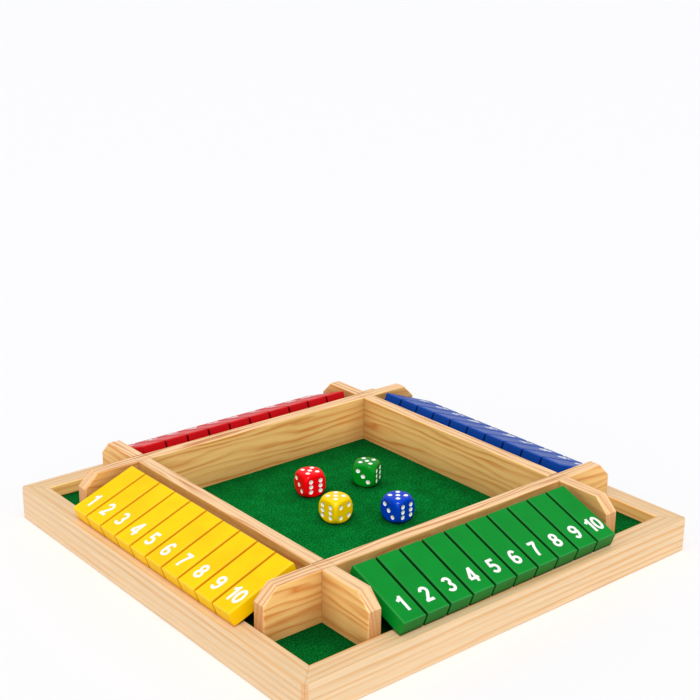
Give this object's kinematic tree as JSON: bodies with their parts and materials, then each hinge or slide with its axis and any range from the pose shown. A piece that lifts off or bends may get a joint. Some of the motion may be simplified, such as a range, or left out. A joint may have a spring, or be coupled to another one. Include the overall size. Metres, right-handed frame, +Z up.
{
  "type": "four-player shut the box game",
  "caption": "Square wooden game tray with a sunken felt playing field, hinged number tiles along each side, corner pockets and coloured dice.",
  "frame": {"origin": "centre of the tray on its underside", "axes": "+Z up; the green row of tiles faces -Y, yellow -X, red +Y and blue +X"},
  "size_m": [0.3, 0.3, 0.0467],
  "materials": {
    "pine": "smooth planed, clear satin",
    "plywood": "plain plywood",
    "felt": "short matt pile",
    "steel": "drawn rod",
    "paint_green": "satin paint on wood",
    "paint_blue": "satin paint on wood",
    "paint_red": "satin paint on wood",
    "paint_yellow": "satin paint on wood",
    "die_green": "polished",
    "die_blue": "polished",
    "die_red": "polished",
    "die_yellow": "polished"
  },
  "bodies": {
    "tray": {"rail_green": "pine", "divider_green": "pine", "rod_green": "steel", "rail_blue": "pine", "divider_blue": "pine", "rod_blue": "steel", "rail_red": "pine", "divider_red": "pine", "rod_red": "steel", "rail_yellow": "pine", "divider_yellow": "pine", "rod_yellow": "steel", "base_board": "plywood", "felt_floor": "felt"},
    "tile_green_1": {"tile_green_1": "paint_green"},
    "tile_green_2": {"tile_green_2": "paint_green"},
    "tile_green_3": {"tile_green_3": "paint_green"},
    "tile_green_4": {"tile_green_4": "paint_green"},
    "tile_green_5": {"tile_green_5": "paint_green"},
    "tile_green_6": {"tile_green_6": "paint_green"},
    "tile_green_7": {"tile_green_7": "paint_green"},
    "tile_green_8": {"tile_green_8": "paint_green"},
    "tile_green_9": {"tile_green_9": "paint_green"},
    "tile_green_10": {"tile_green_10": "paint_green"},
    "tile_blue_1": {"tile_blue_1": "paint_blue"},
    "tile_blue_2": {"tile_blue_2": "paint_blue"},
    "tile_blue_3": {"tile_blue_3": "paint_blue"},
    "tile_blue_4": {"tile_blue_4": "paint_blue"},
    "tile_blue_5": {"tile_blue_5": "paint_blue"},
    "tile_blue_6": {"tile_blue_6": "paint_blue"},
    "tile_blue_7": {"tile_blue_7": "paint_blue"},
    "tile_blue_8": {"tile_blue_8": "paint_blue"},
    "tile_blue_9": {"tile_blue_9": "paint_blue"},
    "tile_blue_10": {"tile_blue_10": "paint_blue"},
    "tile_red_1": {"tile_red_1": "paint_red"},
    "tile_red_2": {"tile_red_2": "paint_red"},
    "tile_red_3": {"tile_red_3": "paint_red"},
    "tile_red_4": {"tile_red_4": "paint_red"},
    "tile_red_5": {"tile_red_5": "paint_red"},
    "tile_red_6": {"tile_red_6": "paint_red"},
    "tile_red_7": {"tile_red_7": "paint_red"},
    "tile_red_8": {"tile_red_8": "paint_red"},
    "tile_red_9": {"tile_red_9": "paint_red"},
    "tile_red_10": {"tile_red_10": "paint_red"},
    "tile_yellow_1": {"tile_yellow_1": "paint_yellow"},
    "tile_yellow_2": {"tile_yellow_2": "paint_yellow"},
    "tile_yellow_3": {"tile_yellow_3": "paint_yellow"},
    "tile_yellow_4": {"tile_yellow_4": "paint_yellow"},
    "tile_yellow_5": {"tile_yellow_5": "paint_yellow"},
    "tile_yellow_6": {"tile_yellow_6": "paint_yellow"},
    "tile_yellow_7": {"tile_yellow_7": "paint_yellow"},
    "tile_yellow_8": {"tile_yellow_8": "paint_yellow"},
    "tile_yellow_9": {"tile_yellow_9": "paint_yellow"},
    "tile_yellow_10": {"tile_yellow_10": "paint_yellow"},
    "die_green": {"die_green": "die_green"},
    "die_blue": {"die_blue": "die_blue"},
    "die_red": {"die_red": "die_red"},
    "die_yellow": {"die_yellow": "die_yellow"}
  },
  "joints": [
    {"name": "flip_green_1", "type": "hinge", "parent": "tray", "child": "tile_green_1", "pos_m": [-0.0756, -0.1073, 0.039], "axis": [-1, 0, 0], "range_deg": [0, 132.7]},
    {"name": "flip_green_2", "type": "hinge", "parent": "tray", "child": "tile_green_2", "pos_m": [-0.0588, -0.1073, 0.039], "axis": [-1, 0, 0], "range_deg": [0, 132.7]},
    {"name": "flip_green_3", "type": "hinge", "parent": "tray", "child": "tile_green_3", "pos_m": [-0.042, -0.1073, 0.039], "axis": [-1, 0, 0], "range_deg": [0, 132.7]},
    {"name": "flip_green_4", "type": "hinge", "parent": "tray", "child": "tile_green_4", "pos_m": [-0.0252, -0.1073, 0.039], "axis": [-1, 0, 0], "range_deg": [0, 132.7]},
    {"name": "flip_green_5", "type": "hinge", "parent": "tray", "child": "tile_green_5", "pos_m": [-0.0084, -0.1073, 0.039], "axis": [-1, 0, 0], "range_deg": [0, 132.7]},
    {"name": "flip_green_6", "type": "hinge", "parent": "tray", "child": "tile_green_6", "pos_m": [0.0084, -0.1073, 0.039], "axis": [-1, 0, 0], "range_deg": [0, 132.7]},
    {"name": "flip_green_7", "type": "hinge", "parent": "tray", "child": "tile_green_7", "pos_m": [0.0252, -0.1073, 0.039], "axis": [-1, 0, 0], "range_deg": [0, 132.7]},
    {"name": "flip_green_8", "type": "hinge", "parent": "tray", "child": "tile_green_8", "pos_m": [0.042, -0.1073, 0.039], "axis": [-1, 0, 0], "range_deg": [0, 132.7]},
    {"name": "flip_green_9", "type": "hinge", "parent": "tray", "child": "tile_green_9", "pos_m": [0.0588, -0.1073, 0.039], "axis": [-1, 0, 0], "range_deg": [0, 132.7]},
    {"name": "flip_green_10", "type": "hinge", "parent": "tray", "child": "tile_green_10", "pos_m": [0.0756, -0.1073, 0.039], "axis": [-1, 0, 0], "range_deg": [0, 132.7]},
    {"name": "flip_blue_1", "type": "hinge", "parent": "tray", "child": "tile_blue_1", "pos_m": [0.1073, 0.0756, 0.039], "axis": [0, -1, 0], "range_deg": [0, 132.7]},
    {"name": "flip_blue_2", "type": "hinge", "parent": "tray", "child": "tile_blue_2", "pos_m": [0.1073, 0.0588, 0.039], "axis": [0, -1, 0], "range_deg": [0, 132.7]},
    {"name": "flip_blue_3", "type": "hinge", "parent": "tray", "child": "tile_blue_3", "pos_m": [0.1073, 0.042, 0.039], "axis": [0, -1, 0], "range_deg": [0, 132.7]},
    {"name": "flip_blue_4", "type": "hinge", "parent": "tray", "child": "tile_blue_4", "pos_m": [0.1073, 0.0252, 0.039], "axis": [0, -1, 0], "range_deg": [0, 132.7]},
    {"name": "flip_blue_5", "type": "hinge", "parent": "tray", "child": "tile_blue_5", "pos_m": [0.1073, 0.0084, 0.039], "axis": [0, -1, 0], "range_deg": [0, 132.7]},
    {"name": "flip_blue_6", "type": "hinge", "parent": "tray", "child": "tile_blue_6", "pos_m": [0.1073, -0.0084, 0.039], "axis": [0, -1, 0], "range_deg": [0, 132.7]},
    {"name": "flip_blue_7", "type": "hinge", "parent": "tray", "child": "tile_blue_7", "pos_m": [0.1073, -0.0252, 0.039], "axis": [0, -1, 0], "range_deg": [0, 132.7]},
    {"name": "flip_blue_8", "type": "hinge", "parent": "tray", "child": "tile_blue_8", "pos_m": [0.1073, -0.042, 0.039], "axis": [0, -1, 0], "range_deg": [0, 132.7]},
    {"name": "flip_blue_9", "type": "hinge", "parent": "tray", "child": "tile_blue_9", "pos_m": [0.1073, -0.0588, 0.039], "axis": [0, -1, 0], "range_deg": [0, 132.7]},
    {"name": "flip_blue_10", "type": "hinge", "parent": "tray", "child": "tile_blue_10", "pos_m": [0.1073, -0.0756, 0.039], "axis": [0, -1, 0], "range_deg": [0, 132.7]},
    {"name": "flip_red_1", "type": "hinge", "parent": "tray", "child": "tile_red_1", "pos_m": [-0.0756, 0.1073, 0.039], "axis": [1, 0, 0], "range_deg": [0, 132.7]},
    {"name": "flip_red_2", "type": "hinge", "parent": "tray", "child": "tile_red_2", "pos_m": [-0.0588, 0.1073, 0.039], "axis": [1, 0, 0], "range_deg": [0, 132.7]},
    {"name": "flip_red_3", "type": "hinge", "parent": "tray", "child": "tile_red_3", "pos_m": [-0.042, 0.1073, 0.039], "axis": [1, 0, 0], "range_deg": [0, 132.7]},
    {"name": "flip_red_4", "type": "hinge", "parent": "tray", "child": "tile_red_4", "pos_m": [-0.0252, 0.1073, 0.039], "axis": [1, 0, 0], "range_deg": [0, 132.7]},
    {"name": "flip_red_5", "type": "hinge", "parent": "tray", "child": "tile_red_5", "pos_m": [-0.0084, 0.1073, 0.039], "axis": [1, 0, 0], "range_deg": [0, 132.7]},
    {"name": "flip_red_6", "type": "hinge", "parent": "tray", "child": "tile_red_6", "pos_m": [0.0084, 0.1073, 0.039], "axis": [1, 0, 0], "range_deg": [0, 132.7]},
    {"name": "flip_red_7", "type": "hinge", "parent": "tray", "child": "tile_red_7", "pos_m": [0.0252, 0.1073, 0.039], "axis": [1, 0, 0], "range_deg": [0, 132.7]},
    {"name": "flip_red_8", "type": "hinge", "parent": "tray", "child": "tile_red_8", "pos_m": [0.042, 0.1073, 0.039], "axis": [1, 0, 0], "range_deg": [0, 132.7]},
    {"name": "flip_red_9", "type": "hinge", "parent": "tray", "child": "tile_red_9", "pos_m": [0.0588, 0.1073, 0.039], "axis": [1, 0, 0], "range_deg": [0, 132.7]},
    {"name": "flip_red_10", "type": "hinge", "parent": "tray", "child": "tile_red_10", "pos_m": [0.0756, 0.1073, 0.039], "axis": [1, 0, 0], "range_deg": [0, 132.7]},
    {"name": "flip_yellow_1", "type": "hinge", "parent": "tray", "child": "tile_yellow_1", "pos_m": [-0.1073, 0.0756, 0.039], "axis": [0, 1, 0], "range_deg": [0, 132.7]},
    {"name": "flip_yellow_2", "type": "hinge", "parent": "tray", "child": "tile_yellow_2", "pos_m": [-0.1073, 0.0588, 0.039], "axis": [0, 1, 0], "range_deg": [0, 132.7]},
    {"name": "flip_yellow_3", "type": "hinge", "parent": "tray", "child": "tile_yellow_3", "pos_m": [-0.1073, 0.042, 0.039], "axis": [0, 1, 0], "range_deg": [0, 132.7]},
    {"name": "flip_yellow_4", "type": "hinge", "parent": "tray", "child": "tile_yellow_4", "pos_m": [-0.1073, 0.0252, 0.039], "axis": [0, 1, 0], "range_deg": [0, 132.7]},
    {"name": "flip_yellow_5", "type": "hinge", "parent": "tray", "child": "tile_yellow_5", "pos_m": [-0.1073, 0.0084, 0.039], "axis": [0, 1, 0], "range_deg": [0, 132.7]},
    {"name": "flip_yellow_6", "type": "hinge", "parent": "tray", "child": "tile_yellow_6", "pos_m": [-0.1073, -0.0084, 0.039], "axis": [0, 1, 0], "range_deg": [0, 132.7]},
    {"name": "flip_yellow_7", "type": "hinge", "parent": "tray", "child": "tile_yellow_7", "pos_m": [-0.1073, -0.0252, 0.039], "axis": [0, 1, 0], "range_deg": [0, 132.7]},
    {"name": "flip_yellow_8", "type": "hinge", "parent": "tray", "child": "tile_yellow_8", "pos_m": [-0.1073, -0.042, 0.039], "axis": [0, 1, 0], "range_deg": [0, 132.7]},
    {"name": "flip_yellow_9", "type": "hinge", "parent": "tray", "child": "tile_yellow_9", "pos_m": [-0.1073, -0.0588, 0.039], "axis": [0, 1, 0], "range_deg": [0, 132.7]},
    {"name": "flip_yellow_10", "type": "hinge", "parent": "tray", "child": "tile_yellow_10", "pos_m": [-0.1073, -0.0756, 0.039], "axis": [0, 1, 0], "range_deg": [0, 132.7]},
    {"name": "lift_green", "type": "slide", "parent": "tray", "child": "die_green", "axis": [0, 0, 1], "range_m": [0, 0.1]},
    {"name": "lift_blue", "type": "slide", "parent": "tray", "child": "die_blue", "axis": [0, 0, 1], "range_m": [0, 0.1]},
    {"name": "lift_red", "type": "slide", "parent": "tray", "child": "die_red", "axis": [0, 0, 1], "range_m": [0, 0.1]},
    {"name": "lift_yellow", "type": "slide", "parent": "tray", "child": "die_yellow", "axis": [0, 0, 1], "range_m": [0, 0.1]}
  ]
}
